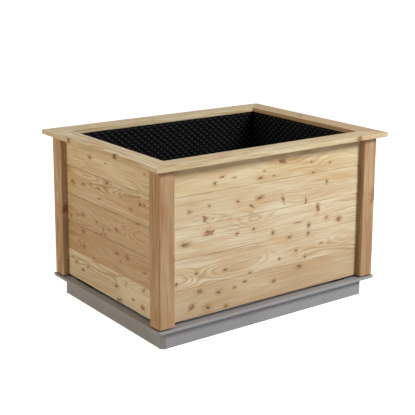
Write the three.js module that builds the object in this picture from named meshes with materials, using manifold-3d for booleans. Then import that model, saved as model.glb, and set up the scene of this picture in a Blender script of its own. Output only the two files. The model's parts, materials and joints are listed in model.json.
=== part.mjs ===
// Raised garden bed: timber board walls between four corner posts, a mitred cap
// frame on top, a dimpled drainage membrane inside and a folded sheet steel base.
// Millimetres. +X runs along the bed, +Y across it, +Z up. The origin is on the
// ground under the middle of the bed.

import * as THREE from 'three';
import { mergeVertices } from 'three/addons/utils/BufferGeometryUtils.js';
import Module from 'manifold-3d';

const wasm = await Module();
wasm.setup();

// ---- Driving dimensions ---------------------------------------------------

// Whole bed
const bedLength = 1250;          // over the cap frame, along X
const bedWidth = 950;            // over the cap frame, along Y
const bedHeight = 775;           // from the ground to the top of the cap
const fit = 0.3;                 // gap left between two pieces that touch

// Cap frame
const capWidth = 100;
const capThickness = 21;
const capOverhang = 34;          // past the outer faces of the posts
const capEase = 3;               // radius on the long edges
const mitreGap = 0.5;            // between two mitred rails
const capPlateSize = 42;         // steel plate under each mitre, let into the post
const capPlateThickness = 3;
const capPlateCorner = 5;        // radius on the corners of that plate

// Corner posts
const postSize = 76;
const postEdge = 8;              // radius on the upright edges
const postProud = 31;            // post face in front of the board face
const rebateDepth = 10;          // rebate in the post for the ends of the boards

// Wall boards
const boardThickness = 26;
const boardsPerWall = 5;
const boardEndGap = 1;           // at the bottom of the rebate
const boardChamfer = 3;          // on the outer edges, which makes the V joint
const boardInnerChamfer = 1.5;
const tongueThickness = 8;
const tongueHeight = 9;
const tongueGap = 0.5;           // all round the tongue in its groove

// Membrane inside the walls
const membraneDepth = 8;         // skin and dimples together
const membraneSkin = 1.5;
const dimplePitchAlong = 64;     // between dimples of one row; the next row is staggered
const dimplePitchUp = 52;        // between one row and the next but one
const membraneLift = 2;          // above the steel base

// Steel base
const baseHeight = 95;           // ground to the top of the flange
const sheet = 2;                 // sheet thickness
const foldRadius = 1.5;          // inside radius of the long folds
const flangeProud = 7;           // flange edge past the outer face of the post
const lipHeight = 12;            // fold-down along the flange edge, from its top
const lipNotch = 15;             // length of the slanted cut at each end of a lip
const skirtInset = 30;           // skirt behind the post face
const skirtCorner = 16;          // legs of the slanted face between two skirts
const cornerRadius = 3;          // inside radius of its fold
const floorFlange = 30;          // inward flange on the ground
const gussetLeg = 110;           // triangular plate in each corner of the base
const gussetThickness = 5;
const gussetTip = 10;            // blunt ends of the long edge

// Post pads and coach screws
const padMargin = 3.5;           // from the faces of the post
const padThickness = 5.4;
const padCorner = 4;
const screwGap = 0.7;            // between the washer and the steel round the corner
const screwRadius = 4;
const screwSides = 12;           // flats that stand in for the round shank
const screwGrip = 60;            // length of the screw inside the post
const screwPoint = 7;
const washerRadius = 8.5;
const washerThickness = 1.6;
const hexHeadWidth = 13;         // across the flats
const hexHeadHeight = 5.3;

// Wire mesh floor
const meshMargin = 8;            // from the skirts
const meshWire = 3;
const meshWeld = 0.8;            // depth to which crossing wires are fused
const meshCellsLong = 15;
const meshCellsWide = 11;

// ---- Derived places -------------------------------------------------------

const postOuterX = bedLength / 2 - capOverhang;
const postOuterY = bedWidth / 2 - capOverhang;
const capBottom = bedHeight - capThickness;
const woodBottom = baseHeight + padThickness + 2 * fit;
const woodTop = capBottom - fit;
const boardPitch = (woodTop - woodBottom) / boardsPerWall;
const boardInset = postProud + boardThickness;  // inner faces of boards and posts
const membraneBack = boardInset + fit;
const skirtX = postOuterX - skirtInset;
const skirtY = postOuterY - skirtInset;
const skirtInner = skirtInset + sheet + fit;  // clear of the skirt, from the post's outer face
const cornerFaceTop = baseHeight - 2 * sheet - foldRadius;
const screwInset = skirtInset + cornerRoom(screwGap + washerRadius); // axis from the post's faces

// How far inside both skirts' outer faces a point lies that keeps "gap" from the two
// skirts and from the slanted face between them
function cornerRoom(gap) {
  const room = sheet + gap;
  return Math.max(room, (skirtCorner + Math.SQRT2 * room) / 2);
}

// The four sides, each built as a front side that faces -Y and then turned
const quarter = Math.PI / 2;
const longSide = {
  halfLength: postOuterX,
  depth: postOuterY,
  skirtAlong: skirtX,
  skirtDepth: skirtY,
  membraneHalf: postOuterX - membraneBack,
  wraps: false,
};
const shortSide = {
  halfLength: postOuterY,
  depth: postOuterX,
  skirtAlong: skirtY,
  skirtDepth: skirtX,
  membraneHalf: postOuterY - membraneBack - membraneDepth - fit,
  wraps: true,
};
const sides = [
  { name: 'front', turn: 0, ...longSide },
  { name: 'right', turn: quarter, ...shortSide },
  { name: 'back', turn: 2 * quarter, ...longSide },
  { name: 'left', turn: 3 * quarter, ...shortSide },
];

// The four corners, each built as a front left corner and then turned
const alongSide = { outerX: postOuterX, outerY: postOuterY };
const alongEnd = { outerX: postOuterY, outerY: postOuterX };
const corners = [
  { name: 'front_left', turn: 0, ...alongSide },
  { name: 'front_right', turn: quarter, ...alongEnd },
  { name: 'back_right', turn: 2 * quarter, ...alongSide },
  { name: 'back_left', turn: 3 * quarter, ...alongEnd },
];

// ---- Materials ------------------------------------------------------------

function finish(color, roughness, metalness) {
  return () => new THREE.MeshStandardMaterial({ color, roughness, metalness });
}

const larch = finish('#d3b98a', 0.65, 0);
const redLarch = finish('#b98a60', 0.65, 0);
const capLarch = finish('#cdb68c', 0.6, 0);
const blackPlastic = finish('#1c1c1e', 0.5, 0);
const rubber = finish('#242424', 0.85, 0);
const steelSheet = finish('#9aa0a4', 0.42, 0.85);
const zincPlate = finish('#b4b8ba', 0.35, 0.9);
const wire = finish('#a8acae', 0.4, 0.85);

// ---- Helpers --------------------------------------------------------------

// A closed three.js geometry as a manifold-3d solid
function solidFrom(geometry) {
  const bare = geometry.index ? geometry.toNonIndexed() : geometry.clone();
  for (const name of Object.keys(bare.attributes)) {
    if (name !== 'position') bare.deleteAttribute(name);
  }
  const merged = mergeVertices(bare, 1e-4);
  const mesh = new wasm.Mesh({
    numProp: 3,
    vertProperties: new Float32Array(merged.attributes.position.array),
    triVerts: new Uint32Array(merged.index.array),
  });
  return new wasm.Manifold(mesh);
}

function geometryFrom(solid) {
  const mesh = solid.getMesh();
  const geometry = new THREE.BufferGeometry();
  geometry.setAttribute('position', new THREE.BufferAttribute(mesh.vertProperties, 3));
  geometry.setIndex(new THREE.BufferAttribute(mesh.triVerts, 1));
  geometry.computeVertexNormals();
  return geometry;
}

function shapeFrom(points) {
  return new THREE.Shape(points.map(([x, y]) => new THREE.Vector2(x, y)));
}

// A plan outline raised from z = low to z = high
function raise(shape, low, high, curveSegments = 2) {
  const geometry = new THREE.ExtrudeGeometry(shape, {
    depth: high - low,
    bevelEnabled: false,
    curveSegments,
  });
  return geometry.translate(0, 0, low);
}

// A section drawn in Y and Z, run along X from -half to +half
function runAlongX(shape, half, curveSegments = 1) {
  const geometry = new THREE.ExtrudeGeometry(shape, {
    depth: 2 * half,
    bevelEnabled: false,
    curveSegments,
  });
  const toYZ = new THREE.Matrix4().makeBasis(
    new THREE.Vector3(0, 1, 0),
    new THREE.Vector3(0, 0, 1),
    new THREE.Vector3(1, 0, 0),
  );
  return geometry.applyMatrix4(toYZ).translate(-half, 0, 0);
}

function box(x0, x1, y0, y1, z0, z1) {
  const geometry = new THREE.BoxGeometry(x1 - x0, y1 - y0, z1 - z0);
  return geometry.translate((x0 + x1) / 2, (y0 + y1) / 2, (z0 + z1) / 2);
}

// An upright round bar
function bar(x, y, z0, z1, radius, sidesOfBar) {
  const geometry = new THREE.CylinderGeometry(radius, radius, z1 - z0, sidesOfBar);
  return geometry.rotateX(quarter).translate(x, y, (z0 + z1) / 2);
}

function roundedRectangle(x0, x1, y0, y1, radius) {
  const shape = new THREE.Shape();
  shape.absarc(x1 - radius, y1 - radius, radius, 0, quarter);
  shape.absarc(x0 + radius, y1 - radius, radius, quarter, 2 * quarter);
  shape.absarc(x0 + radius, y0 + radius, radius, 2 * quarter, 3 * quarter);
  shape.absarc(x1 - radius, y0 + radius, radius, 3 * quarter, 4 * quarter);
  shape.closePath();
  return shape;
}

// The outline of a folded sheet: its middle line has sharp corners, which are
// rounded here and then given the sheet's thickness.
function foldedSheet(path, thickness, insideRadius, steps = 2) {
  const points = path.map(([x, y]) => new THREE.Vector2(x, y));
  const radius = insideRadius + thickness / 2;
  const origin = new THREE.Vector2();
  const line = [];
  points.forEach((point, i) => {
    const from = points[Math.max(i - 1, 0)];
    const to = points[Math.max(i, 1)];
    const run = to.clone().sub(from).normalize();
    const left = new THREE.Vector2(-run.y, run.x);
    if (i === 0 || i === points.length - 1) {
      line.push({ at: point, left });
      return;
    }
    const next = points[i + 1].clone().sub(point).normalize();
    const angle = Math.atan2(run.cross(next), run.dot(next));
    const bend = Math.sign(angle) * radius;
    const centre = point.clone()
      .addScaledVector(run, -radius * Math.tan(Math.abs(angle) / 2))
      .addScaledVector(left, bend);
    for (let step = 0; step <= steps; step += 1) {
      const normal = left.clone().rotateAround(origin, (angle * step) / steps);
      line.push({ at: centre.clone().addScaledVector(normal, -bend), left: normal });
    }
  });
  const onLeft = line.map(({ at, left }) => at.clone().addScaledVector(left, thickness / 2));
  const onRight = line.map(({ at, left }) => at.clone().addScaledVector(left, -thickness / 2));
  return new THREE.Shape([...onLeft, ...onRight.reverse()]);
}

// A round hole for an outline, with as many sides as the screw that goes through
function screwHole() {
  const circle = new THREE.EllipseCurve(screwInset, screwInset, screwRadius + fit, screwRadius + fit);
  return new THREE.Path(circle.getPoints(screwSides));
}

function piece(name, geometry, material) {
  const mesh = new THREE.Mesh(geometry, material());
  mesh.name = name;
  return mesh;
}

// ---- Walls ----------------------------------------------------------------

// One tongue and groove board, its outer face at y = 0 and its foot at z = 0
function boardSection(withTongue) {
  const height = boardPitch - fit;
  const middle = boardThickness / 2;
  const slot = tongueThickness / 2 + tongueGap;
  const slotDepth = tongueHeight + tongueGap;
  const tongue = tongueThickness / 2;
  const foot = [
    [0, boardChamfer],
    [boardChamfer, 0],
    [middle - slot, 0],
    [middle - slot, slotDepth],
    [middle + slot, slotDepth],
    [middle + slot, 0],
    [boardThickness - boardInnerChamfer, 0],
    [boardThickness, boardInnerChamfer],
    [boardThickness, height - boardInnerChamfer],
    [boardThickness - boardInnerChamfer, height],
  ];
  const tongueOutline = [
    [middle + tongue, height],
    [middle + tongue, height + tongueHeight],
    [middle - tongue, height + tongueHeight],
    [middle - tongue, height],
  ];
  const head = [
    [boardChamfer, height],
    [0, height - boardChamfer],
  ];
  return shapeFrom([...foot, ...(withTongue ? tongueOutline : []), ...head]);
}

function wallBoards(side) {
  const half = side.halfLength - postSize + rebateDepth - boardEndGap;
  const boards = [];
  for (let row = 0; row < boardsPerWall; row += 1) {
    const isTop = row === boardsPerWall - 1;
    const geometry = runAlongX(boardSection(!isTop), half);
    const board = piece(`${side.name}_board_${row + 1}`, geometry, larch);
    board.position.set(0, postProud - side.depth, woodBottom + row * boardPitch);
    boards.push(board);
  }
  return boards;
}

// A sheet in X and Z with a flat back at y = 0 and a skin of even thickness, out of
// which four-sided dimples stand in staggered rows. Its grid has two points to a
// pitch each way, and every other one of them is the top of a dimple.
function dimpledSheet(x0, x1, z0, z1) {
  const columns = 2 * Math.round((x1 - x0) / dimplePitchAlong);
  const rows = 2 * Math.round((z1 - z0) / dimplePitchUp);
  const pointAt = (column, row) => row * (columns + 1) + column;
  const points = [];
  const faces = [];
  for (let row = 0; row <= rows; row += 1) {
    for (let column = 0; column <= columns; column += 1) {
      const isInside = row % rows > 0 && column % columns > 0;
      const isTop = isInside && (row + column) % 2 === 0;
      const x = x0 + ((x1 - x0) * column) / columns;
      const z = z0 + ((z1 - z0) * row) / rows;
      points.push([x, isTop ? membraneDepth : membraneSkin, z]);
    }
  }
  // Each square is folded along the diagonal between its two low corners
  for (let row = 0; row < rows; row += 1) {
    for (let column = 0; column < columns; column += 1) {
      const a = pointAt(column, row);
      const b = pointAt(column + 1, row);
      const c = pointAt(column + 1, row + 1);
      const d = pointAt(column, row + 1);
      if ((row + column) % 2 === 0) faces.push(a, d, b, b, d, c);
      else faces.push(a, d, c, a, c, b);
    }
  }
  // The points of the edge, walked round once and repeated on the back
  const edge = [];
  for (let column = 0; column < columns; column += 1) edge.push(pointAt(column, 0));
  for (let row = 0; row < rows; row += 1) edge.push(pointAt(columns, row));
  for (let column = columns; column > 0; column -= 1) edge.push(pointAt(column, rows));
  for (let row = rows; row > 0; row -= 1) edge.push(pointAt(0, row));
  const firstBack = points.length;
  edge.forEach((point) => points.push([points[point][0], 0, points[point][2]]));
  const middle = points.push([(x0 + x1) / 2, 0, (z0 + z1) / 2]) - 1;
  edge.forEach((point, i) => {
    const after = (i + 1) % edge.length;
    faces.push(point, edge[after], firstBack + after, point, firstBack + after, firstBack + i);
    faces.push(firstBack + i, firstBack + after, middle);
  });
  const geometry = new THREE.BufferGeometry();
  geometry.setAttribute('position', new THREE.Float32BufferAttribute(points.flat(), 3));
  geometry.setIndex(faces);
  geometry.computeVertexNormals();
  return geometry;
}

// The drainage membrane lies on the boards, its dimples towards the soil
function membraneSheet(side) {
  const half = side.membraneHalf;
  const geometry = dimpledSheet(-half, half, baseHeight + membraneLift, woodTop);
  geometry.translate(0, membraneBack - side.depth, 0);
  return piece(`${side.name}_membrane`, geometry, blackPlastic);
}

// ---- Cap frame ------------------------------------------------------------

function capRail(side) {
  const outer = side.depth + capOverhang;
  const half = side.halfLength + capOverhang;
  const section = roundedRectangle(-outer, capWidth - outer, capBottom, bedHeight, capEase);
  const mitred = shapeFrom([
    [-half + mitreGap, -outer],
    [half - mitreGap, -outer],
    [half - capWidth - mitreGap, capWidth - outer],
    [-half + capWidth + mitreGap, capWidth - outer],
  ]);
  const bounds = raise(mitred, capBottom - 1, bedHeight + 1);
  const rail = solidFrom(runAlongX(section, half)).intersect(solidFrom(bounds));
  return piece(`${side.name}_cap_rail`, geometryFrom(rail), capLarch);
}

// ---- Steel base -----------------------------------------------------------

// Plan outline that mitres the ends of one folded sheet
function basePlan(side, flangeAlong, flangeDepth) {
  const past = 1;
  const inward = floorFlange + past;
  const right = [
    [flangeAlong - mitreGap, -flangeDepth - past],
    [flangeAlong - mitreGap, -flangeDepth],
    [side.skirtAlong - mitreGap, -side.skirtDepth],
    [side.skirtAlong - mitreGap - inward, inward - side.skirtDepth],
  ];
  const left = right.map(([x, y]) => [-x, y]).reverse();
  return shapeFrom([...right, ...left]);
}

// Slanted end of the fold-down lip, cut off at the end that "way" points to
function lipCut(flangeAlong, flangeDepth, way) {
  const outline = shapeFrom([
    [0, baseHeight - sheet - foldRadius],
    [way, baseHeight - sheet - foldRadius],
    [way, baseHeight - lipHeight - 1],
    [-way * lipNotch, baseHeight - lipHeight - 1],
    [-way * lipNotch, baseHeight - lipHeight],
  ]);
  const cut = raise(outline, 0, sheet + foldRadius + 1);
  cut.rotateX(quarter);
  return cut.translate(way * (flangeAlong - mitreGap), sheet + foldRadius - flangeDepth, 0);
}

// Plan outline of what both skirts leave to the slanted face between them
function cornerPlan(side, way) {
  const past = foldRadius + 1;
  const reach = skirtCorner + Math.SQRT2 * (sheet + fit) + past;
  return shapeFrom([
    [way * (side.skirtAlong + past), -side.skirtDepth - past],
    [way * (side.skirtAlong + past), reach - side.skirtDepth],
    [way * (side.skirtAlong - reach), -side.skirtDepth - past],
  ]);
}

// The slanted face, folded out of an end skirt and drawn in plan
function cornerFace(side, way) {
  const middle = sheet / 2;
  const fold = skirtCorner + middle * (Math.SQRT2 - 1);
  const end = middle / Math.SQRT2;
  const path = [
    [way * (side.skirtAlong - fold - 4 * sheet), middle - side.skirtDepth],
    [way * (side.skirtAlong - fold), middle - side.skirtDepth],
    [way * (side.skirtAlong - end), skirtCorner + end - side.skirtDepth],
  ];
  return raise(foldedSheet(path, sheet, cornerRadius), 0, cornerFaceTop);
}

function baseSheet(side) {
  const flangeAlong = side.halfLength + flangeProud;
  const flangeDepth = side.depth + flangeProud;
  const path = [
    [floorFlange - side.skirtDepth, sheet / 2],
    [sheet / 2 - side.skirtDepth, sheet / 2],
    [sheet / 2 - side.skirtDepth, baseHeight - sheet / 2],
    [sheet / 2 - flangeDepth, baseHeight - sheet / 2],
    [sheet / 2 - flangeDepth, baseHeight - lipHeight],
  ];
  const section = foldedSheet(path, sheet, foldRadius);
  const plan = raise(basePlan(side, flangeAlong, flangeDepth), -1, baseHeight + 1);
  let folded = solidFrom(runAlongX(section, flangeAlong)).intersect(solidFrom(plan));
  for (const way of [-1, 1]) {
    const corner = raise(cornerPlan(side, way), -1, cornerFaceTop + fit);
    folded = folded.subtract(solidFrom(lipCut(flangeAlong, flangeDepth, way)));
    folded = folded.subtract(solidFrom(corner));
    if (side.wraps) folded = folded.add(solidFrom(cornerFace(side, way)));
  }
  return piece(`${side.name}_base_sheet`, geometryFrom(folded), steelSheet);
}

// ---- Corners --------------------------------------------------------------

// Post outline with its outer corner at the origin and two rebates for the boards,
// whose inner faces it lies level with
function postOutline() {
  const far = postSize;
  const near = postProud - fit;
  const seat = far - rebateDepth;
  const shape = new THREE.Shape();
  shape.absarc(postEdge, postEdge, postEdge, 2 * quarter, 3 * quarter);
  shape.absarc(far - postEdge, postEdge, postEdge, 3 * quarter, 4 * quarter);
  shape.lineTo(far, near);
  shape.lineTo(seat, near);
  shape.lineTo(seat, boardInset);
  shape.lineTo(boardInset, boardInset);
  shape.lineTo(boardInset, seat);
  shape.lineTo(near, seat);
  shape.lineTo(near, far);
  shape.absarc(postEdge, far - postEdge, postEdge, quarter, 2 * quarter);
  shape.closePath();
  return shape;
}

// Plan outline of the steel plate under a mitre, enlarged by "extra"
function capPlateOutline(extra) {
  const low = (boardInset - capPlateSize) / 2 - extra;
  const high = (boardInset + capPlateSize) / 2 + extra;
  return roundedRectangle(low, high, low, high, capPlateCorner);
}

function cornerPost(corner) {
  const holeTop = woodBottom + screwGrip + 1;
  const hole = bar(screwInset, screwInset, woodBottom - 1, holeTop, screwRadius + fit, screwSides);
  const recess = raise(capPlateOutline(fit), woodTop - capPlateThickness - fit, woodTop + 1);
  const post = solidFrom(raise(postOutline(), woodBottom, woodTop))
    .subtract(solidFrom(hole))
    .subtract(solidFrom(recess));
  return piece(`${corner.name}_post`, geometryFrom(post), redLarch);
}

function capPlate(corner) {
  const geometry = raise(capPlateOutline(0), woodTop - capPlateThickness, woodTop);
  return piece(`${corner.name}_cap_plate`, geometry, zincPlate);
}

function postPad(corner) {
  const high = boardInset - padMargin;
  const outline = roundedRectangle(padMargin, high, padMargin, high, padCorner);
  outline.holes.push(screwHole());
  const bottom = baseHeight + fit;
  return piece(`${corner.name}_post_pad`, raise(outline, bottom, bottom + padThickness), rubber);
}

// Triangular plate level with the flange, fitted against both skirts and the
// slanted face between them
function gusset(corner) {
  const near = skirtInner;
  const far = near + gussetLeg;
  const cut = near + skirtCorner - (2 - Math.SQRT2) * (sheet + fit);
  const outline = shapeFrom([
    [cut, near],
    [far, near],
    [far, near + gussetTip],
    [near + gussetTip, far],
    [near, far],
    [near, cut],
  ]);
  outline.holes.push(screwHole());
  const geometry = raise(outline, baseHeight - gussetThickness, baseHeight);
  return piece(`${corner.name}_gusset`, geometry, steelSheet);
}

// Hexagon head screw that comes up through the gusset and the pad into the post
function coachScrew(corner) {
  const seat = baseHeight - gussetThickness - fit;
  const tip = woodBottom + screwGrip;
  const profile = [
    [0, seat - washerThickness],
    [washerRadius, seat - washerThickness],
    [washerRadius, seat],
    [screwRadius, seat],
    [screwRadius, tip - screwPoint],
    [0, tip],
  ].map(([x, y]) => new THREE.Vector2(x, y));
  const shank = new THREE.LatheGeometry(profile, screwSides).rotateX(quarter);
  shank.translate(screwInset, screwInset, 0);
  const headRadius = hexHeadWidth / 2 / Math.cos(Math.PI / 6);
  const headTop = seat - washerThickness / 2;
  const head = bar(screwInset, screwInset, seat - washerThickness - hexHeadHeight, headTop, headRadius, 6);
  const screw = solidFrom(shank).add(solidFrom(head));
  return piece(`${corner.name}_coach_screw`, geometryFrom(screw), zincPlate);
}

// ---- Wire mesh floor ------------------------------------------------------

// Welded mesh: wires along X lie on the base's inward flanges, wires along Y are
// fused onto them.
function wireMesh() {
  const inset = Math.max(sheet + meshMargin, cornerRoom(fit));
  const halfX = skirtX - inset;
  const halfY = skirtY - inset;
  const bottom = sheet + fit;
  const level = bottom + meshWire - meshWeld;
  const wires = [];
  for (let row = 0; row <= meshCellsWide; row += 1) {
    const y = -halfY + (row * (2 * halfY - meshWire)) / meshCellsWide;
    wires.push(box(-halfX, halfX, y, y + meshWire, bottom, bottom + meshWire));
  }
  for (let column = 0; column <= meshCellsLong; column += 1) {
    const x = -halfX + (column * (2 * halfX - meshWire)) / meshCellsLong;
    wires.push(box(x, x + meshWire, -halfY, halfY, level, level + meshWire));
  }
  const net = wasm.Manifold.union(wires.map(solidFrom));
  return piece('vole_mesh', geometryFrom(net), wire);
}

// ---- Assembly -------------------------------------------------------------

function buildSide(side) {
  const group = new THREE.Group();
  group.add(...wallBoards(side), membraneSheet(side), capRail(side), baseSheet(side));
  group.rotation.z = side.turn;
  return group;
}

function buildCorner(corner) {
  const group = new THREE.Group();
  const place = new THREE.Group();
  place.add(cornerPost(corner), capPlate(corner), postPad(corner));
  place.add(gusset(corner), coachScrew(corner));
  place.position.set(-corner.outerX, -corner.outerY, 0);
  group.add(place);
  group.rotation.z = corner.turn;
  return group;
}

const bed = new THREE.Group();
sides.forEach((side) => bed.add(buildSide(side)));
corners.forEach((corner) => bed.add(buildCorner(corner)));
bed.add(wireMesh());

export default bed;
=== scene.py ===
import json
import math
import random

import bpy
from mathutils import Matrix, Quaternion, Vector

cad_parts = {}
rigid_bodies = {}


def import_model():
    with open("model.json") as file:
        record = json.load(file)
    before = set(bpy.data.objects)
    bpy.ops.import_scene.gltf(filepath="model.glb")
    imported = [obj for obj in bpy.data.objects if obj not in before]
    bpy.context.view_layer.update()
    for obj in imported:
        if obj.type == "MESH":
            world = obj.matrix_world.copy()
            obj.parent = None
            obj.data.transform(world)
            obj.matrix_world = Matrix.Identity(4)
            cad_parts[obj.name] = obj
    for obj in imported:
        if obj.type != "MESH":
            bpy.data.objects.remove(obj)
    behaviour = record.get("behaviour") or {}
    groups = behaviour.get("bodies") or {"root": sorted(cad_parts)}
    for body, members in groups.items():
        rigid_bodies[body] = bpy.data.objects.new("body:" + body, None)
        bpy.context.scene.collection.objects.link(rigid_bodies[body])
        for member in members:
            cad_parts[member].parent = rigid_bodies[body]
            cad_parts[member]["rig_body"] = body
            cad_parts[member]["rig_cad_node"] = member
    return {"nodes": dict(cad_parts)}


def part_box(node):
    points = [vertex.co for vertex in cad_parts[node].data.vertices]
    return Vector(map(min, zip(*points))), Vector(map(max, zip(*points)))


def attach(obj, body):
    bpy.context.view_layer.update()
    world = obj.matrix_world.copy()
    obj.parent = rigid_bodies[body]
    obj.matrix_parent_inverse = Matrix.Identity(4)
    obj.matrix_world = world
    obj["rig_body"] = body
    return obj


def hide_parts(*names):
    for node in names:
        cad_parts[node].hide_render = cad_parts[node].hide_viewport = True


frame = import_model()

bl_info = {
    "name": "Raised Garden Bed",
    "version": (1, 0, 0),
    "blender": (4, 5, 0),
    "location": "3D View > Sidebar > Raised Bed",
    "description": "Dresses the packed raised bed: larch walls and posts, mitred cap, "
    "dimpled membrane and folded steel base",
    "category": "Object",
}

MM = 0.001
MIX_A, MIX_B, MIX_OUT = 6, 7, 2  # the sockets of a Mix node that carry colours
WALLS = ("front", "right", "back", "left")
CORNERS = ("front_left", "front_right", "back_right", "back_left")
UP = Vector((0, 0, 1))

# Seen from outside each wall: the way to the right along it, and the way out of it
ALONG = {
    "front": Vector((1, 0, 0)),
    "right": Vector((0, 1, 0)),
    "back": Vector((-1, 0, 0)),
    "left": Vector((0, -1, 0)),
}
OUT = {wall: way.cross(UP) for wall, way in ALONG.items()}


# ---- Small helpers ----------------------------------------------------------


def linear(code):
    """sRGB hex code as linear red, green, blue and alpha 1."""
    parts = [int(code[i:i + 2], 16) / 255 for i in (1, 3, 5)]
    curve = [p / 12.92 if p <= 0.04045 else ((p + 0.055) / 1.055) ** 2.4 for p in parts]
    return (*curve, 1.0)


def put(tree, kind, feeds=None, **settings):
    """Adds a node, sets its properties, and feeds its inputs with sockets or values."""
    node = tree.nodes.new(kind)
    for key, value in settings.items():
        setattr(node, key, value)
    for key, value in (feeds or {}).items():
        if isinstance(value, bpy.types.NodeSocket):
            tree.links.new(value, node.inputs[key])
        else:
            node.inputs[key].default_value = value
    return node


def blank_material(name):
    material = bpy.data.materials.new(name)
    material.use_nodes = True
    material.node_tree.nodes.clear()
    return material, material.node_tree


def give(piece, material):
    """The piece wears this material alone."""
    piece.data.materials.clear()
    piece.data.materials.append(material)


def middle(node):
    low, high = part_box(node)
    return (low + high) / 2


def only(piece):
    """Makes the piece the one selected and active object."""
    bpy.ops.object.select_all(action="DESELECT")
    piece.select_set(True)
    bpy.context.view_layer.objects.active = piece


def settle(piece, slot, *nodes):
    """The piece rides on the bed and stands for its CAD nodes, which it hides. The slot argument
    is not used.
    """
    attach(piece, "root")
    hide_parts(*nodes)


def apply_modifier(piece, kind, **settings):
    only(piece)
    bpy.ops.object.modifier_add(type=kind)
    modifier = piece.modifiers[-1]
    for key, value in settings.items():
        setattr(modifier, key, value)
    bpy.ops.object.modifier_apply(modifier=modifier.name)


def smooth_shaded(piece, degrees=35):
    """Smooth where faces meet at a small angle, with the large faces kept flat."""
    only(piece)
    bpy.ops.object.shade_smooth_by_angle(angle=math.radians(degrees))
    apply_modifier(piece, "WEIGHTED_NORMAL", keep_sharp=True)


def eased_copy(node, name, ease, segments=2, sharp=25):
    """A copy of a CAD node, merged, with all its arrises eased by "ease" metres."""
    only(frame["nodes"][node])
    bpy.ops.object.duplicate()
    piece = bpy.context.active_object
    piece.name = piece.data.name = name
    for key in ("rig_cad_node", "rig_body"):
        if key in piece:
            del piece[key]
    bpy.ops.object.mode_set(mode="EDIT")
    bpy.ops.mesh.select_all(action="SELECT")
    bpy.ops.mesh.remove_doubles(threshold=1e-6)
    bpy.ops.mesh.dissolve_limited(angle_limit=math.radians(1))
    bpy.ops.mesh.select_all(action="DESELECT")
    bpy.ops.mesh.select_mode(type="EDGE")
    bpy.ops.mesh.edges_select_sharp(sharpness=math.radians(sharp))
    bpy.ops.mesh.bevel(offset=ease, segments=segments, profile=0.5, clamp_overlap=True)
    bpy.ops.object.mode_set(mode="OBJECT")
    smooth_shaded(piece)
    return piece


# ---- Settings -----------------------------------------------------------------


def colour(name, description, code):
    return bpy.props.FloatVectorProperty(
        name=name, description=description, subtype="COLOR", size=4,
        min=0.0, max=1.0, default=linear(code),
    )


def length(name, description, millimetres):
    return bpy.props.FloatProperty(
        name=name, description=description, unit="LENGTH", subtype="DISTANCE",
        min=0.0, default=millimetres * MM,
    )


class TimberSettings(bpy.types.PropertyGroup):
    sapwood: colour("Sapwood", "Palest wood of the wall boards", "#dfd5ba")
    heartwood: colour("Heartwood", "Warm wood of the wall boards", "#cdaf88")
    latewood: colour("Latewood", "Dark line that closes each year ring", "#a5845c")
    knot: colour("Knot", "Heart of a small tight knot", "#553a22")
    post_wood: colour("Post wood", "Redder wood of the corner posts", "#b69872")
    cap_wood: colour("Cap wood", "Pale wood of the cap rails", "#dad2b2")
    ring: length("Ring width", "Mean width of one year ring", 4.2)
    arris: length("Arris", "Rounding on the edges of the boards", 1.2)


class MembraneSettings(bpy.types.PropertyGroup):
    plastic: colour("Plastic", "Black polyethylene", "#08080a")
    pitch_along: length("Pitch along", "Distance between dimples in a row", 36.5)
    pitch_up: length("Pitch up", "Distance between every second row", 29.8)
    skin: length("Skin", "Thickness of the sheet between the dimples", 1.5)
    foot: length("Foot", "Flat ring that each dimple stands in", 2.8)
    flank: length("Flank", "Width that the side of a dimple takes up", 3.4)
    slack: length("Slack", "How far the dimples stay short of the sheet's full depth", 0.2)


class SteelSettings(bpy.types.PropertyGroup):
    zinc: colour("Zinc", "Galvanised sheet of the base", "#919195")
    wire: length("Wire", "Thickness of the welded mesh wire", 1.6)
    opening: length("Opening", "Pitch of the welded mesh", 19.0)


class StageSettings(bpy.types.PropertyGroup):
    floor: colour("Floor", "Pale studio floor", "#b8b8b8")
    key: bpy.props.FloatProperty(
        name="Key light", description="Strength of the large light at the right",
        min=0.0, default=1.0,
    )
    fill: bpy.props.FloatProperty(
        name="Fill light", description="Strength of the warm light at the left",
        min=0.0, default=1.0,
    )
    top: bpy.props.FloatProperty(
        name="Top light", description="Strength of the wide light overhead",
        min=0.0, default=1.0,
    )


# ---- Timber -------------------------------------------------------------------

SEED_STEP = 7.3         # keeps the noises of two planks apart
FAR_FROM_KNOTS = 9.0    # half sizes; past the reach of every mask
KNOT_RAGGEDNESS = 3.2   # half sizes that the rough noise adds at most to a knot's edge


def plank_place(tree, grain, out, centre):
    """Place on the plank: X along the grain, Y across it, Z out of the face."""
    at = put(tree, "ShaderNodeTexCoord").outputs["Object"]
    turn = Matrix((grain, out.cross(grain), out)).transposed().to_euler()
    return put(
        tree, "ShaderNodeMapping",
        {"Vector": at, "Location": centre, "Rotation": turn}, vector_type="TEXTURE",
    ).outputs[0]


def grain_patterns(tree, place, seed):
    """The noises that the wood is drawn with, by name, most of them long with the grain."""
    patterns = {}
    # Features per metre along and across the grain, then fineness and waviness
    for label, along, across, detail, bend in (
        ("drift", 2.4, 7.0, 1.5, 0.6),
        ("patch", 4.0, 24.0, 3.0, 0.8),
        ("streak", 5.0, 110.0, 3.0, 0.5),
        ("fibre", 16.0, 700.0, 2.0, 0.0),
        ("rough", 60.0, 100.0, 2.0, 0.6),
    ):
        spread = put(
            tree, "ShaderNodeVectorMath", {0: place, 1: (along, across, across)},
            operation="MULTIPLY",
        ).outputs[0]
        patterns[label] = put(
            tree, "ShaderNodeTexNoise",
            {"Vector": spread, "W": seed * SEED_STEP, "Scale": 1.0, "Detail": detail,
             "Distortion": bend},
            noise_dimensions="4D",
        )
    return patterns


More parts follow.
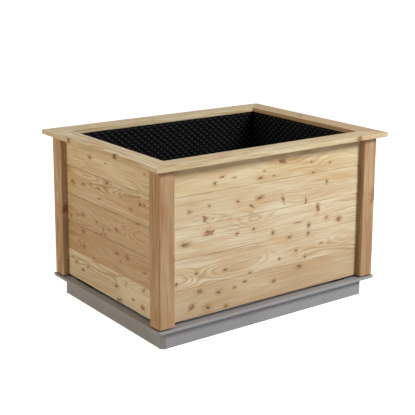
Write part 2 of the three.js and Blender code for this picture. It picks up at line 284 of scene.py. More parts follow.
def knot_masks(tree, place, rough, small, large):
    """Cores, hearts and halos of the knots: 1 within each of them and 0 outside it."""
    reach = {}
    for label, group in (("small", small), ("large", large)):
        # Distance to the nearest knot, in units of that knot's own half size
        nearest = FAR_FROM_KNOTS
        for along, up, long, high, lean in group:
            own = put(
                tree, "ShaderNodeMapping",
                {
                    "Vector": place,
                    "Location": (along * MM, up * MM, 0),
                    "Rotation": (0, 0, math.radians(lean)),
                    "Scale": (long / 2 * MM, high / 2 * MM, 1),
                },
                vector_type="TEXTURE",
            ).outputs[0]
            far = put(tree, "ShaderNodeVectorMath", {0: own}, operation="LENGTH").outputs["Value"]
            nearest = put(
                tree, "ShaderNodeMath", {0: nearest, 1: far}, operation="MINIMUM",
            ).outputs[0]
        reach[label] = put(
            tree, "ShaderNodeMath", {0: rough, 1: KNOT_RAGGEDNESS, 2: nearest},
            operation="MULTIPLY_ADD",
        ).outputs[0]
    # Each mask begins at its outer reach and is whole at its inner one. The rough
    # noise adds about half its raggedness to the distance.
    masks = {}
    for label, source, outer, inner in (
        ("small_core", "small", 2.9, 1.9),
        ("small_halo", "small", 5.0, 2.2),
        ("large_core", "large", 2.9, 2.0),
        ("large_heart", "large", 2.2, 1.2),
        ("large_halo", "large", 4.0, 2.1),
    ):
        masks[label] = put(
            tree, "ShaderNodeMapRange",
            {"Value": reach[source], "From Min": outer, "From Max": inner},
            interpolation_type="SMOOTHSTEP",
        ).outputs[0]
    return masks


def year_rings(tree, place, drift, masks, look):
    """Late wood of the year rings, round a heart that lies off the plank and wanders."""
    swing = look["swing"] * MM
    heart_up, heart_deep = (value * MM for value in look["heart"])
    sway = put(
        tree, "ShaderNodeVectorMath",
        {
            0: drift.outputs["Color"],
            1: (0, 2 * swing, 2 * swing),
            2: (0, -swing - heart_up, heart_deep - swing),
        },
        operation="MULTIPLY_ADD",
    ).outputs[0]
    radial = put(
        tree, "ShaderNodeVectorMath", {0: place, 1: (0, 1, 1), 2: sway}, operation="MULTIPLY_ADD",
    ).outputs[0]
    radius = put(tree, "ShaderNodeVectorMath", {0: radial}, operation="LENGTH").outputs["Value"]
    # The grain swells round each knot, by so many mm
    for mask, swell in (("small_halo", 5.0), ("large_halo", 9.0)):
        radius = put(
            tree, "ShaderNodeMath", {0: masks[mask], 1: swell * MM, 2: radius},
            operation="MULTIPLY_ADD",
        ).outputs[0]
    # Good and bad years: the count of rings runs ahead or behind by up to three
    uneven = put(
        tree, "ShaderNodeTexNoise", {"W": radius, "Scale": 60.0, "Detail": 1.0},
        noise_dimensions="1D",
    ).outputs["Fac"]
    ring_width = bpy.context.scene.raised_bed_timber.ring
    years = put(
        tree, "ShaderNodeMath", {0: radius, 1: 1 / ring_width}, operation="MULTIPLY",
    ).outputs[0]
    years = put(
        tree, "ShaderNodeMath", {0: uneven, 1: 3.0, 2: years}, operation="MULTIPLY_ADD",
    ).outputs[0]
    phase = put(tree, "ShaderNodeMath", {0: years}, operation="FRACT").outputs[0]
    # Pale early wood darkens slowly, and the late wood ends at a sharp line
    ring = put(tree, "ShaderNodeFloatCurve", {"Factor": 1.0, "Value": phase})
    curve = ring.mapping.curves[0]
    curve.points[0].location = (0.0, 0.0)
    curve.points[1].location = (1.0, 0.0)
    curve.points.new(0.45, 0.12)
    curve.points.new(0.82, 1.0)
    curve.points.new(0.93, 0.8)
    for point in curve.points:
        point.handle_type = "VECTOR"
    ring.mapping.update()
    # Rings stand out in some places and fade in others
    strong = put(
        tree, "ShaderNodeMapRange",
        {"Value": drift.outputs["Fac"], "From Min": 0.36, "From Max": 0.6, "To Min": 0.2},
    ).outputs[0]
    return put(
        tree, "ShaderNodeMath", {0: ring.outputs[0], 1: strong}, operation="MULTIPLY",
    ).outputs[0]


def timber(name, look, grain, out, centre, seed, small, large):
    """Planed larch: year rings, streaks, fibre and knots in tones laid over each other.

    Small and large knots are rows of place along, place up, length, height, turn,
    in millimetres from "centre" and degrees, as seen from outside.
    """
    material, tree = blank_material(name)
    place = plank_place(tree, grain, out, centre)
    patterns = grain_patterns(tree, place, seed)
    noise = {label: pattern.outputs["Fac"] for label, pattern in patterns.items()}
    masks = knot_masks(tree, place, noise["rough"], small, large)
    ring = year_rings(tree, place, patterns["drift"], masks, look)

    # Each tone lies over those before it: where its source runs from low to high, it
    # rises from nothing to its full amount
    tone = look["pale"]
    for source, low, high, amount, over in (
        (noise["patch"], 0.34, 0.68, 1.0, look["warm"]),
        (ring, 0.0, 1.0, look["contrast"], look["late"]),
        (noise["streak"], 0.48, 0.72, look["streak"], look["late"]),
        (noise["fibre"], 0.35, 0.75, 0.22, look["late"]),
        (masks["small_halo"], 0.0, 1.0, 0.5, linear("#9a6d40")),
        (masks["large_halo"], 0.0, 1.0, 0.34, linear("#b08459")),
        (masks["large_core"], 0.0, 1.0, 0.85, linear("#7d5434")),
        (masks["large_heart"], 0.0, 1.0, 0.35, linear("#a67c52")),
        (masks["small_core"], 0.0, 1.0, 0.85, bpy.context.scene.raised_bed_timber.knot),
    ):
        share = put(
            tree, "ShaderNodeMapRange",
            {"Value": source, "From Min": low, "From Max": high, "To Max": amount},
        ).outputs[0]
        tone = put(
            tree, "ShaderNodeMix", {"Factor": share, MIX_A: tone, MIX_B: over}, data_type="RGBA",
        ).outputs[MIX_OUT]

    height = put(
        tree, "ShaderNodeMath", {0: ring, 1: 0.35, 2: noise["fibre"]}, operation="MULTIPLY_ADD",
    ).outputs[0]
    relief = put(
        tree, "ShaderNodeBump", {"Strength": 0.35, "Distance": 0.4 * MM, "Height": height},
    ).outputs[0]
    sheen = put(
        tree, "ShaderNodeMapRange", {"Value": noise["streak"], "To Min": 0.5, "To Max": 0.72},
    ).outputs[0]
    shader = put(
        tree, "ShaderNodeBsdfPrincipled",
        {"Base Color": tone, "Roughness": sheen, "IOR": 1.45, "Normal": relief},
    ).outputs[0]
    put(tree, "ShaderNodeOutputMaterial", {"Surface": shader})
    return material


def look_of(pale, warm, late, heart, swing, contrast, streak):
    """Tones of one plank, its heart up and behind its face and how far that wanders.

    Heart and swing are in mm; contrast and streak are the strength of rings and streaks.
    """
    return {
        "pale": pale, "warm": warm, "late": late, "heart": heart,
        "swing": swing, "contrast": contrast, "streak": streak,
    }


def toned(tone, code, share):
    """A tone drawn towards a hex code."""
    return tuple(a + (b - a) * share for a, b in zip(tone, linear(code)))


# Knots that can be seen on the two nearest walls, bottom board first: place along
# the wall, height over the ground, length, height and lean, in mm and degrees.
SMALL_KNOTS = {
    "front": (
        ((-276, 188, 20, 14, 0), (-193, 190, 11, 9, 0), (-139, 205, 16, 8, 0),
         (-332, 132, 22, 17, 0), (-238, 119, 12, 9, 0), (166, 212, 24, 14, 0)),
        ((-390, 292, 13, 8, 0), (-240, 278, 16, 10, 0), (-490, 264, 11, 10, 0),
         (-108, 239, 16, 9, 0), (145, 287, 12, 8, 0), (295, 296, 13, 6, 0),
         (199, 251, 11, 12, 0), (107, 357, 17, 12, 0), (215, 355, 11, 16, -30)),
        ((-444, 425, 34, 14, 0), (-184, 425, 12, 8, 0), (-95, 429, 11, 9, 0),
         (322, 412, 15, 12, 0), (12, 395, 14, 15, 0), (151, 416, 28, 4, 0),
         (218, 392, 14, 16, 0)),
        ((-425, 558, 15, 10, 0), (-328, 568, 10, 9, 0), (-182, 563, 13, 8, 0),
         (-62, 562, 27, 12, 15), (66, 535, 10, 20, 20), (318, 575, 10, 14, 0)),
        ((-299, 658, 14, 10, 0), (-201, 669, 16, 5, 0), (-65, 646, 22, 9, 0),
         (-41, 673, 9, 5, 0), (12, 648, 9, 5, 0), (224, 677, 12, 8, 0),
         (333, 662, 10, 7, 0), (235, 629, 12, 7, 0)),
    ),
    "left": (
        ((139, 203, 11, 14, 0), (-186, 189, 15, 10, 30), (-294, 179, 15, 13, 0),
         (-325, 196, 12, 8, 0), (58, 168, 27, 13, 0), (194, 149, 13, 8, 0)),
        ((64, 318, 22, 10, 0), (286, 291, 16, 6, 15), (92, 288, 8, 9, 0),
         (-222, 274, 26, 10, 0)),
        ((236, 488, 26, 4, 0), (-228, 418, 24, 8, 0), (-103, 414, 12, 9, 0),
         (-47, 396, 8, 14, 0), (-333, 392, 15, 10, 0), (3, 404, 9, 8, 0)),
        ((-8, 611, 24, 12, 0), (-214, 564, 22, 8, 10), (-153, 577, 20, 5, 0),
         (253, 577, 20, 12, 0), (283, 578, 12, 9, 0), (105, 576, 14, 7, 0),
         (182, 538, 18, 9, 0), (-75, 527, 24, 6, 10)),
        ((-153, 696, 20, 12, 0), (286, 707, 9, 5, 0), (-19, 693, 14, 4, 0)),
    ),
}
LARGE_KNOTS = {
    "front": (
        ((-374, 212, 26, 20, 0), (-416, 152, 34, 26, 20), (18, 174, 26, 16, 0)),
        ((51, 268, 16, 14, 0),),
        ((-330, 456, 44, 26, 0), (268, 464, 20, 40, 0), (399, 391, 36, 26, -30)),
        ((-349, 514, 26, 34, 30), (-108, 531, 30, 13, -35), (197, 510, 13, 28, 0)),
        ((-261, 679, 28, 12, 0), (58, 703, 34, 24, 0)),
    ),
    "left": (
        ((275, 213, 30, 15, 35), (83, 113, 34, 22, 0), (269, 138, 30, 22, 0),
         (-236, 160, 26, 12, 0)),
        ((-225, 343, 34, 24, 0), (153, 322, 34, 24, 0), (-133, 243, 22, 12, 0)),
        ((69, 422, 38, 18, 0), (-31, 377, 22, 16, 0), (-64, 371, 16, 13, 0),
         (-269, 410, 24, 12, 0)),
        ((-311, 554, 30, 18, 0), (-81, 571, 22, 12, 0)),
        (),
    ),
}


def chance_knots(rng, half, height, count, size):
    """Knots for a board that has none listed: spread at random, none at its ends."""
    return tuple(
        (
            rng.uniform(-0.9, 0.9) * half, rng.uniform(-0.4, 0.4) * height,
            rng.uniform(0.7, 1.6) * size, rng.uniform(0.6, 1.0) * size, rng.uniform(-30, 30),
        )
        for _ in range(count)
    )


class RAISEDBED_OT_boards(bpy.types.Operator):
    """Planes the twenty tongue and groove boards and gives each its own plank of larch"""

    bl_idname = "raised_bed.boards"
    bl_label = "Wall Boards"

    def execute(self, context):
        settings = context.scene.raised_bed_timber
        rng = random.Random(11)
        red, yellow, pale_tone = "#b08e68", "#cdb67c", "#ece6cf"
        # Bottom board first: the tone that it leans to and how far, its heart up and deep,
        # swing and contrast
        planks = {
            "front": ((red, 0.4, (70, 45), 24, 1.0), (red, 0.06, (-20, 120), 20, 0.7),
                      (pale_tone, 0.15, (60, 150), 22, 0.5),
                      (yellow, 0.06, (-70, 130), 20, 0.5),
                      (yellow, 0.3, (30, 160), 22, 0.5)),
            "left": ((pale_tone, 0.5, (40, 80), 24, 0.8), (red, 0.58, (-10, 110), 26, 1.0),
                     (red, 0.36, (0, 90), 28, 1.0), (red, 0.0, (50, 100), 24, 0.9),
                     (pale_tone, 0.05, (-60, 140), 22, 0.6)),
        }
        for wall in WALLS:
            for row in range(5):
                node = f"{wall}_board_{row + 1}"
                centre = middle(node)
                low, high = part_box(node)
                half = (high - low).length / 2 / MM
                lean, share, heart, swing, contrast = (
                    planks[wall][row] if wall in planks
                    else (rng.choice((red, yellow, pale_tone)), rng.uniform(0, 0.4),
                          (rng.uniform(-70, 70), rng.uniform(70, 160)),
                          rng.uniform(14, 24), rng.uniform(0.5, 0.7))
                )
                pale = toned(settings.sapwood, lean, share)
                warm = toned(settings.heartwood, lean, share)
                look = look_of(
                    pale, warm, settings.latewood, heart, swing, contrast, streak=0.36,
                )
                if wall in SMALL_KNOTS:
                    up = centre.z / MM
                    small, large = (
                        tuple((a, z - up, b, c, d) for a, z, b, c, d in group[wall][row])
                        for group in (SMALL_KNOTS, LARGE_KNOTS)
                    )
                else:
                    small = chance_knots(rng, half, 125, rng.randint(4, 7), 14)
                    large = chance_knots(rng, half, 100, rng.randint(0, 3), 27)
                board = eased_copy(node, f"{node}_planed", settings.arris)
                face = centre.copy()
                if OUT[wall].x:
                    face.x = OUT[wall].x * max(abs(low.x), abs(high.x))
                else:
                    face.y = OUT[wall].y * max(abs(low.y), abs(high.y))
                give(board, timber(
                    f"planed_larch_{wall}_{row + 1}", look, ALONG[wall], OUT[wall], face,
                    rng.uniform(1, 50), small, large,
                ))
                settle(board, "wall_boards", node)
        return {"FINISHED"}


class RAISEDBED_OT_posts(bpy.types.Operator):
    """Gives the four corner posts rounded arrises and straight, redder grain"""

    bl_idname = "raised_bed.posts"
    bl_label = "Corner Posts"

    def execute(self, context):
        settings = context.scene.raised_bed_timber
        rng = random.Random(5)
        # Small and large knots: up the post from its middle, to the left of it as seen
        # from the front, size and lean
        knots = {
            "front_left": (((-40, -34, 16, 14, 0),), ()),
            "front_right": (((48, -36, 26, 16, 0),), ((48, -34, 80, 56, 0),)),
            "back_left": ((), ((-10, 20, 46, 30, 0),)),
            "back_right": (((120, 10, 14, 12, 0),), ()),
        }
        # How far each post leans to a paler tone
        leans = {"front_left": 0.2, "front_right": 0.25, "back_left": 0.8, "back_right": 0.3}
        for corner in CORNERS:
            node = f"{corner}_post"
            pale = toned(settings.post_wood, "#d6c3a2", leans[corner])
            warm = toned(settings.post_wood, "#ae825a", 0.7)
            look = look_of(
                pale, warm, linear("#8a5f38"), (rng.uniform(60, 90), rng.uniform(-40, 10)),
                swing=9, contrast=0.9, streak=0.8,
            )
            small, large = knots[corner]
            post = eased_copy(node, f"{node}_planed", 2 * MM, sharp=20)
            give(post, timber(
                f"planed_heart_larch_{corner}", look, UP, Vector((0, -1, 0)), middle(node),
                rng.uniform(1, 50), small, large,
            ))
            settle(post, "corner_posts", node)
        return {"FINISHED"}


class RAISEDBED_OT_cap(bpy.types.Operator):
    """Eases the four mitred cap rails and runs the grain along each of them"""

    bl_idname = "raised_bed.cap"
    bl_label = "Cap Rails"

    def execute(self, context):
        settings = context.scene.raised_bed_timber
        rng = random.Random(3)
        # Small and large knots: along the rail from its middle, towards the bed, size, lean
        knots = {
            "front": (((-180, -30, 9, 6, 0),), ((448, -52, 34, 18, 0),)),
            "left": (((-220, -52, 18, 12, 0), (165, -50, 22, 14, 0)), ()),
            "right": ((), ((60, 10, 40, 24, 0),)),
            "back": (((-120, 20, 12, 8, 0),), ()),
        }
        # How far each rail leans to a darker tone
        leans = {"front": 0.0, "left": 0.05, "right": 0.6, "back": 0.0}
        for wall in WALLS:
            node = f"{wall}_cap_rail"
            low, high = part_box(node)
            top = Vector(((low.x + high.x) / 2, (low.y + high.y) / 2, high.z))
            pale = toned(settings.cap_wood, "#a3835c", leans[wall])
            warm = toned(pale, "#c0a075", 0.6)
            look = look_of(
                pale, warm, linear("#a8855a"), (rng.uniform(-90, 90), rng.uniform(90, 160)),
                swing=10, contrast=0.8, streak=0.9,
            )
            rail = eased_copy(node, f"{node}_planed", 1.2 * MM, sharp=30)
            small, large = knots[wall]
            give(rail, timber(
                f"planed_cap_larch_{wall}", look, ALONG[wall], UP, top,
                rng.uniform(1, 50), small, large,
            ))
            settle(rail, "cap_rails", node)
        return {"FINISHED"}


# ---- Membrane -----------------------------------------------------------------


def black_polyethylene(name):
    """Vacuum-formed black HDPE: a faint satin gloss that picks out every dimple."""
    material, tree = blank_material(name)
    at = put(tree, "ShaderNodeTexCoord").outputs["Object"]
    haze = put(tree, "ShaderNodeTexNoise", {"Vector": at, "Scale": 14.0, "Detail": 3.0})
    grain = put(tree, "ShaderNodeTexNoise", {"Vector": at, "Scale": 900.0, "Detail": 1.0})
    sheen = put(
        tree, "ShaderNodeMapRange",
        {"Value": haze.outputs["Fac"], "To Min": 0.34, "To Max": 0.52},
    ).outputs[0]
    tone = put(
        tree, "ShaderNodeMix",
        {
            "Factor": haze.outputs["Fac"],
            MIX_A: bpy.context.scene.raised_bed_membrane.plastic,
            MIX_B: linear("#0e0f12"),
        },
        data_type="RGBA",
    ).outputs[MIX_OUT]
    relief = put(
        tree, "ShaderNodeBump",
        {"Strength": 0.2, "Distance": 0.2 * MM, "Height": grain.outputs["Fac"]},
    ).outputs[0]
    shader = put(
        tree, "ShaderNodeBsdfPrincipled",
        {"Base Color": tone, "Roughness": sheen, "IOR": 1.52, "Specular IOR Level": 0.09,
         "Normal": relief},
    ).outputs[0]
    put(tree, "ShaderNodeOutputMaterial", {"Surface": shader})
    return material


def select_faces(piece, test):
    """Selects, in object mode, just the faces that pass the test."""
    for part in (piece.data.vertices, piece.data.edges, piece.data.polygons):
        part.foreach_set("select", [False] * len(part))
    for face in piece.data.polygons:
        face.select = test(face)


def dimpled_sheet(name, width, height, depth):
    """A dimpled sheet in the XY plane, its dimples towards +Z and its skin below.

    A grid turned by 45 degrees gives the staggered rows: one dimple in each cell.
    """
    settings = bpy.context.scene.raised_bed_membrane
    along, up = settings.pitch_along, settings.pitch_up
    cells = 2 * math.ceil((width / along + height / up) / 2 + 2)
    bpy.ops.object.select_all(action="DESELECT")
    bpy.ops.mesh.primitive_grid_add(
        x_subdivisions=cells, y_subdivisions=cells, size=cells / math.sqrt(2),
    )
    sheet = bpy.context.active_object
    sheet.name = sheet.data.name = name
    sheet.rotation_euler = (0, 0, math.pi / 4)
    bpy.ops.object.transform_apply(location=False, rotation=True, scale=False)
    sheet.scale = (along, up, 1)
    bpy.ops.object.transform_apply(location=False, rotation=False, scale=True)

    bpy.ops.object.mode_set(mode="EDIT")
    for side in (-1, 1):
        for point, way in (
            ((side * width / 2, 0, 0), (side, 0, 0)), ((0, side * height / 2, 0), (0, side, 0)),
        ):
            bpy.ops.mesh.select_all(action="SELECT")
            bpy.ops.mesh.bisect(plane_co=point, plane_no=way, clear_outer=True)
    bpy.ops.object.mode_set(mode="OBJECT")
    # Cells that an edge has cut get no dimple
    whole = along * up / 2 * 0.99
    select_faces(sheet, lambda face: face.area > whole)
    bpy.ops.object.mode_set(mode="EDIT")
    bpy.ops.mesh.select_mode(type="FACE")
    rise = depth - settings.skin
    bpy.ops.mesh.inset(thickness=settings.foot, depth=0.0, use_individual=True)
    bpy.ops.mesh.inset(thickness=settings.flank, depth=rise, use_individual=True)
    bpy.ops.object.mode_set(mode="OBJECT")
    apply_modifier(
        sheet, "SUBSURF", levels=1, render_levels=1, boundary_smooth="PRESERVE_CORNERS",
    )
    bpy.ops.object.mode_set(mode="EDIT")
    bpy.ops.mesh.select_mode(type="EDGE")
    bpy.ops.mesh.select_all(action="DESELECT")
    bpy.ops.mesh.select_non_manifold(
        extend=False, use_wire=False, use_boundary=True,
        use_multi_face=False, use_non_contiguous=False, use_verts=False,
    )
    bpy.ops.mesh.extrude_region_move(TRANSFORM_OT_translate={"value": (0, 0, -settings.skin)})
    bpy.ops.mesh.edge_face_add()
    bpy.ops.mesh.select_all(action="SELECT")
    bpy.ops.mesh.normals_make_consistent(inside=False)
    bpy.ops.object.mode_set(mode="OBJECT")
    only(sheet)
    bpy.ops.object.shade_smooth_by_angle(angle=math.radians(60))
    return sheet


class RAISEDBED_OT_membrane(bpy.types.Operator):
    """Lines the four walls with black dimpled sheet, modelled dimple by dimple"""

    bl_idname = "raised_bed.membrane"
    bl_label = "Dimpled Membrane"

    def execute(self, context):
        settings = context.scene.raised_bed_membrane
        plastic = black_polyethylene("vacuum_formed_black_hdpe")
        for wall in WALLS:
            node = f"{wall}_membrane"
            low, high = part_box(node)
            size = high - low
            across = OUT[wall].x != 0
            width, depth = (size.y, size.x) if across else (size.x, size.y)
            if across:
                # The skin of an end sheet runs on to that of the sheets beside it
                width += 2 * (depth - settings.skin)
            sheet = dimpled_sheet(f"{node}_dimpled", width, size.z, depth - settings.slack)
            if not any(face.area > 0 for face in sheet.data.polygons):
                raise RuntimeError(f"{node}: the dimpled sheet came out empty")
            # Local X along the wall, local Y up, local Z into the bed
            inward = -OUT[wall]
            sideways = UP.cross(inward)
            turn = Matrix((sideways, UP, inward)).transposed()
            back = middle(node) - inward * (depth / 2 - settings.skin)
            sheet.rotation_euler = turn.to_euler()
            sheet.location = back
            only(sheet)
            bpy.ops.object.transform_apply(location=True, rotation=True, scale=True)
            give(sheet, plastic)
            settle(sheet, "membrane", node)
        return {"FINISHED"}


# ---- Steel --------------------------------------------------------------------


def galvanised_sheet(name, base, rough, spangle=0.10, metallic=1.0, gloss=0.5):
    """Hot-dip galvanised sheet: matt zinc crystals about 12 mm across, faint smears.

    Weathered zinc is part metal and part dull grey carbonate, which "metallic" and
    "gloss" weigh.
    """
    material, tree = blank_material(name)
    at = put(tree, "ShaderNodeTexCoord").outputs["Object"]
    crystals = put(
        tree, "ShaderNodeTexVoronoi", {"Vector": at, "Scale": 85.0, "Randomness": 1.0},
    )
    smears = put(tree, "ShaderNodeTexNoise", {"Vector": at, "Scale": 5.0, "Detail": 3.0})
    shade = put(
        tree, "ShaderNodeSeparateColor", {"Color": crystals.outputs["Color"]},
    ).outputs[0]
    both = put(
        tree, "ShaderNodeMath",
        {0: shade, 1: spangle, 2: smears.outputs["Fac"]}, operation="MULTIPLY_ADD",
    ).outputs[0]
    tone = put(
        tree, "ShaderNodeMix",
        {"Factor": both, MIX_A: toned(base, "#6c6c70", 0.35), MIX_B: toned(base, "#b4b4b8", 0.35)},
        data_type="RGBA",
    ).outputs[MIX_OUT]
    sheen = put(
        tree, "ShaderNodeMapRange",
        {"Value": both, "From Min": 0.2, "From Max": 0.9, "To Min": rough - 0.06,
         "To Max": rough + 0.08},
    ).outputs[0]
    shader = put(
        tree, "ShaderNodeBsdfPrincipled",
        {"Base Color": tone, "Metallic": metallic, "Roughness": sheen,
         "Specular IOR Level": gloss},
    ).outputs[0]
    put(tree, "ShaderNodeOutputMaterial", {"Surface": shader})
    return material


class RAISEDBED_OT_base(bpy.types.Operator):
    """Finishes the folded base sheets and the corner gussets in galvanised steel"""

    bl_idname = "raised_bed.base"
    bl_label = "Steel Base"

    def execute(self, context):
        zinc = context.scene.raised_bed_steel.zinc
        sheet = galvanised_sheet(
            "weathered_galvanised_sheet", zinc, 0.55, metallic=0.12, gloss=0.2,
        )
        for wall in WALLS:
            node = f"{wall}_base_sheet"
            folded = eased_copy(node, f"{node}_folded", 0.3 * MM, segments=1, sharp=60)
            give(folded, sheet)
            settle(folded, "base_steel", node)
        plate = galvanised_sheet("galvanised_steel_plate", toned(zinc, "#8c8c90", 0.5), 0.5)
        for corner in CORNERS:
            node = f"{corner}_gusset"
            gusset = eased_copy(node, f"{node}_plate", 0.4 * MM)
            give(gusset, plate)
            settle(gusset, "base_steel", node)
        return {"FINISHED"}


def moulded_rubber(name):
    """Black rubber pad: matt, with a fine moulded grain."""
    material, tree = blank_material(name)
    at = put(tree, "ShaderNodeTexCoord").outputs["Object"]
    grain = put(tree, "ShaderNodeTexNoise", {"Vector": at, "Scale": 700.0, "Detail": 2.0})
    relief = put(
        tree, "ShaderNodeBump",
        {"Strength": 0.4, "Distance": 0.3 * MM, "Height": grain.outputs["Fac"]},
    ).outputs[0]
    tone = put(
        tree, "ShaderNodeMix",
        {"Factor": grain.outputs["Fac"], MIX_A: linear("#161616"), MIX_B: linear("#262626")},
        data_type="RGBA",
    ).outputs[MIX_OUT]
    shader = put(
        tree, "ShaderNodeBsdfPrincipled",
        {"Base Color": tone, "Roughness": 0.8, "Normal": relief},
    ).outputs[0]
    put(tree, "ShaderNodeOutputMaterial", {"Surface": shader})
    return material


class RAISEDBED_OT_fixings(bpy.types.Operator):
    """Finishes the cap plates, the coach screws and the rubber post pads"""

    bl_idname = "raised_bed.fixings"
    bl_label = "Fixings"

    def execute(self, context):
        zinc = galvanised_sheet("bright_zinc_plating", linear("#c3c6c8"), 0.3, 0.05)
        rubber = moulded_rubber("moulded_black_rubber")
        for corner in CORNERS:
            for kind, slot, material, ease in (
                ("cap_plate", "zinc_fixings", zinc, 0.4),
                ("coach_screw", "zinc_fixings", zinc, 0.3),
                ("post_pad", "post_pads", rubber, 0.6),
            ):
                node = f"{corner}_{kind}"
                piece = eased_copy(node, f"{node}_finished", ease * MM, sharp=35)
                give(piece, material)
                settle(piece, slot, node)
        return {"FINISHED"}


WELD = 0.2  # how deep crossing wires are pressed into each other, in radii


class RAISEDBED_OT_wire_mesh(bpy.types.Operator):
    """Lays a fine welded wire mesh on the floor flanges, in place of the coarse one"""

    bl_idname = "raised_bed.wire_mesh"
    bl_label = "Wire Mesh"

    def execute(self, context):
        settings = context.scene.raised_bed_steel
        low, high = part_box("vole_mesh")
        size = high - low
        radius = settings.wire / 2
        runs = []
        for way, span, reach, level in (
            ("X", size.x, size.y, low.z + radius),
            ("Y", size.y, size.x, low.z + (3 - WELD) * radius),
        ):
            count = round((reach - settings.wire) / settings.opening) + 1
            step = (reach - settings.wire) / (count - 1)
            bpy.ops.object.select_all(action="DESELECT")
            turn = (0, math.pi / 2, 0) if way == "X" else (math.pi / 2, 0, 0)
            bpy.ops.mesh.primitive_cylinder_add(
                vertices=8, radius=radius, depth=span, rotation=turn,
            )
            wire = bpy.context.active_object
            start = radius + (low.y if way == "X" else low.x)
            wire.location = (0, start, level) if way == "X" else (start, 0, level)
            bpy.ops.object.transform_apply(location=True, rotation=True, scale=True)
            bpy.ops.object.mode_set(mode="EDIT")
            bpy.ops.mesh.select_all(action="DESELECT")
            bpy.ops.mesh.select_mode(type="EDGE")
            bpy.ops.mesh.edges_select_sharp(sharpness=math.radians(60))
            bpy.ops.mesh.bevel(offset=radius * 0.3, segments=1)
            bpy.ops.object.mode_set(mode="OBJECT")
            offset = (0, step, 0) if way == "X" else (step, 0, 0)
            apply_modifier(
                wire, "ARRAY", count=count, use_relative_offset=False,
                use_constant_offset=True, constant_offset_displace=offset,
            )
            runs.append(wire)
        only(runs[0])
        runs[1].select_set(True)
        bpy.ops.object.join()
        net = bpy.context.active_object
        net.name = net.data.name = "vole_mesh_welded"
        only(net)
        bpy.ops.object.shade_smooth_by_angle(angle=math.radians(50))
        give(net, galvanised_sheet("galvanised_wire", linear("#9a9da0"), 0.4, 0.05))
        settle(net, "mesh_wire", "vole_mesh")
        return {"FINISHED"}


# ---- Stage --------------------------------------------------------------------

FLOOR_SIZE = 60.0  # metres
LIGHTS_AIM = Vector((0, 0, 450)) * MM

# Camera solved from the photograph: degrees, millimetres and pixels
PHOTO_WIDTH = 415
FOCAL_LENGTH = 991.7
AZIMUTH, ELEVATION, ROLL = -36.15, 12.08, 0.27
AIM = (-40.7, -3.4, 713.1)
DISTANCE = 4479.6
RISE = 0.15  # of the picture's width, by which the lens is shifted down
SENSOR = 36.0


def studio_floor(name, shade):
    """Pale studio floor; the camera sees it lifted to white, with the shadow kept.

    The floor inside the steel base is left as the lamps light it.
    """
    material, tree = blank_material(name)
    at = put(tree, "ShaderNodeTexCoord").outputs["Object"]
    cloud = put(tree, "ShaderNodeTexNoise", {"Vector": at, "Scale": 1.5, "Detail": 2.0})
    tone = put(
        tree, "ShaderNodeMix",
        {"Factor": cloud.outputs["Fac"], MIX_A: shade, MIX_B: toned(shade, "#ffffff", 0.5)},
        data_type="RGBA",
    ).outputs[MIX_OUT]
    matt = put(tree, "ShaderNodeBsdfDiffuse", {"Color": tone}).outputs[0]
    low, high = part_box("vole_mesh")
    past = put(
        tree, "ShaderNodeVectorMath",
        {0: put(tree, "ShaderNodeVectorMath", {0: at}, operation="ABSOLUTE").outputs[0],
         1: high},
        operation="SUBTRACT",
    ).outputs[0]
    sides = put(tree, "ShaderNodeSeparateXYZ", {0: past}).outputs
    beyond = put(
        tree, "ShaderNodeMath", {0: sides[0], 1: sides[1]}, operation="MAXIMUM",
    ).outputs[0]
    outside = put(
        tree, "ShaderNodeMath", {0: beyond, 1: 0.0}, operation="GREATER_THAN",
    ).outputs[0]
    away = put(tree, "ShaderNodeVectorMath", {0: at}, operation="LENGTH").outputs["Value"]
    level = put(
        tree, "ShaderNodeMapRange",
        {"Value": away, "From Min": 0.8, "From Max": 1.9, "To Min": 0.9, "To Max": 1.0},
    ).outputs[0]
    level = put(
        tree, "ShaderNodeMath", {0: level, 1: outside}, operation="MULTIPLY",
    ).outputs[0]
    lift = put(
        tree, "ShaderNodeEmission", {"Color": (1, 1, 1, 1), "Strength": level},
    ).outputs[0]
    lit = put(tree, "ShaderNodeAddShader", {0: matt, 1: lift}).outputs[0]
    rays = put(tree, "ShaderNodeLightPath")
    seen = put(
        tree, "ShaderNodeMath",
        {0: rays.outputs["Is Camera Ray"], 1: rays.outputs["Is Glossy Ray"]}, operation="MAXIMUM",
    ).outputs[0]
    shader = put(tree, "ShaderNodeMixShader", {0: seen, 1: matt, 2: lit}).outputs[0]
    put(tree, "ShaderNodeOutputMaterial", {"Surface": shader})
    return material


def studio_world(ambient):
    """White where the camera and reflections look, a soft level for all other light."""
    world = bpy.data.worlds.new("studio_surround")
    bpy.context.scene.world = world
    world.use_nodes = True
    tree = world.node_tree
    tree.nodes.clear()
    rays = put(tree, "ShaderNodeLightPath")
    seen = rays.outputs["Is Camera Ray"]
    for kind in ("Is Glossy Ray", "Is Transmission Ray"):
        seen = put(
            tree, "ShaderNodeMath", {0: seen, 1: rays.outputs[kind]}, operation="MAXIMUM",
        ).outputs[0]
    soft = put(tree, "ShaderNodeBackground", {"Color": ambient, "Strength": 1.0}).outputs[0]
    white = put(
        tree, "ShaderNodeBackground", {"Color": (1, 1, 1, 1), "Strength": 1.0},
    ).outputs[0]
    both = put(tree, "ShaderNodeMixShader", {0: seen, 1: soft, 2: white}).outputs[0]
    put(tree, "ShaderNodeOutputWorld", {"Surface": both})


def area_light(name, toward, distance, size, power, tint):
    """A square light that lies "toward" from the bed's middle and looks back at it."""
    data = bpy.data.lights.new(name, "AREA")
    data.shape = "SQUARE"
    data.size = size
    data.energy = power
    data.color = tint[:3]
    lamp = bpy.data.objects.new(name, data)
    bpy.context.scene.collection.objects.link(lamp)
    way = Vector(toward).normalized()
    lamp.location = LIGHTS_AIM + way * distance
    lamp.rotation_euler = way.to_track_quat("Z", "Y").to_euler()


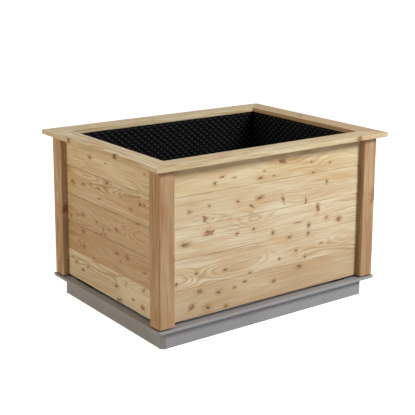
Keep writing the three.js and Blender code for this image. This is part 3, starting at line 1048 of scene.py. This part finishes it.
class RAISEDBED_OT_stage(bpy.types.Operator):
    """Sets the pale floor, the soft studio light and the photograph's camera"""

    bl_idname = "raised_bed.stage"
    bl_label = "Stage"

    def execute(self, context):
        settings = context.scene.raised_bed_stage
        bpy.ops.object.select_all(action="DESELECT")
        bpy.ops.mesh.primitive_plane_add(size=FLOOR_SIZE)
        floor = bpy.context.active_object
        floor.name = floor.data.name = "studio_floor"
        give(floor, studio_floor("matt_white_floor", settings.floor))
        studio_world((0.05, 0.05, 0.052, 1.0))
        # Direction, distance and size in metres, watts, tint
        for name, toward, distance, size, power, tint in (
            ("key_light", (0.42, -0.84, 0.62), 6.0, 1.4, 330 * settings.key, "#fffdf8"),
            ("fill_light", (-0.96, 0.14, 0.34), 5.0, 2.4, 106 * settings.fill, "#ffe8c3"),
            ("top_light", (-0.1, 0.15, 0.98), 4.5, 3.0, 30 * settings.top, "#f4f7ff"),
        ):
            area_light(name, toward, distance, size, power, linear(tint))

        azimuth, elevation, roll = (math.radians(d) for d in (AZIMUTH, ELEVATION, ROLL))
        back = Vector((
            math.sin(azimuth) * math.cos(elevation),
            -math.cos(azimuth) * math.cos(elevation),
            math.sin(elevation),
        ))
        data = bpy.data.cameras.new("photo_camera")
        data.sensor_width = SENSOR
        data.lens = FOCAL_LENGTH / PHOTO_WIDTH * SENSOR
        data.shift_y = -RISE
        data.clip_end = 100.0
        camera = bpy.data.objects.new("photo_camera", data)
        context.scene.collection.objects.link(camera)
        camera.location = Vector(AIM) * MM + back * DISTANCE * MM
        camera.rotation_euler = (
            back.to_track_quat("Z", "Y") @ Quaternion((0, 0, 1), roll)
        ).to_euler()
        context.scene.camera = camera
        context.scene.view_settings.view_transform = "Standard"
        return {"FINISHED"}


# ---- Add-on -------------------------------------------------------------------

OPERATORS = (
    RAISEDBED_OT_boards,
    RAISEDBED_OT_posts,
    RAISEDBED_OT_cap,
    RAISEDBED_OT_membrane,
    RAISEDBED_OT_base,
    RAISEDBED_OT_fixings,
    RAISEDBED_OT_wire_mesh,
    RAISEDBED_OT_stage,
)
GROUPS = (
    ("raised_bed_timber", TimberSettings),
    ("raised_bed_membrane", MembraneSettings),
    ("raised_bed_steel", SteelSettings),
    ("raised_bed_stage", StageSettings),
)


class RAISEDBED_PT_panel(bpy.types.Panel):
    """Settings and steps of the raised bed"""

    bl_idname = "RAISEDBED_PT_panel"
    bl_label = "Raised Bed"
    bl_space_type = "VIEW_3D"
    bl_region_type = "UI"
    bl_category = "Raised Bed"

    def draw(self, context):
        for name, group in GROUPS:
            part = self.layout.box()
            part.label(text=name.replace("_", " ").title())
            for key in group.__annotations__:
                part.prop(getattr(context.scene, name), key)
        for operator in OPERATORS:
            self.layout.operator(operator.bl_idname)


def register():
    for _, group in GROUPS:
        bpy.utils.register_class(group)
    for name, group in GROUPS:
        setattr(bpy.types.Scene, name, bpy.props.PointerProperty(type=group))
    for cls in (*OPERATORS, RAISEDBED_PT_panel):
        bpy.utils.register_class(cls)


def unregister():
    for cls in (RAISEDBED_PT_panel, *reversed(OPERATORS)):
        bpy.utils.unregister_class(cls)
    for name, group in reversed(GROUPS):
        delattr(bpy.types.Scene, name)
        bpy.utils.unregister_class(group)


def main():
    register()
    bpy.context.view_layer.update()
    for operator in OPERATORS:
        section, step = operator.bl_idname.split(".")
        getattr(getattr(bpy.ops, section), step)()


if __name__ == "__main__":
    main()
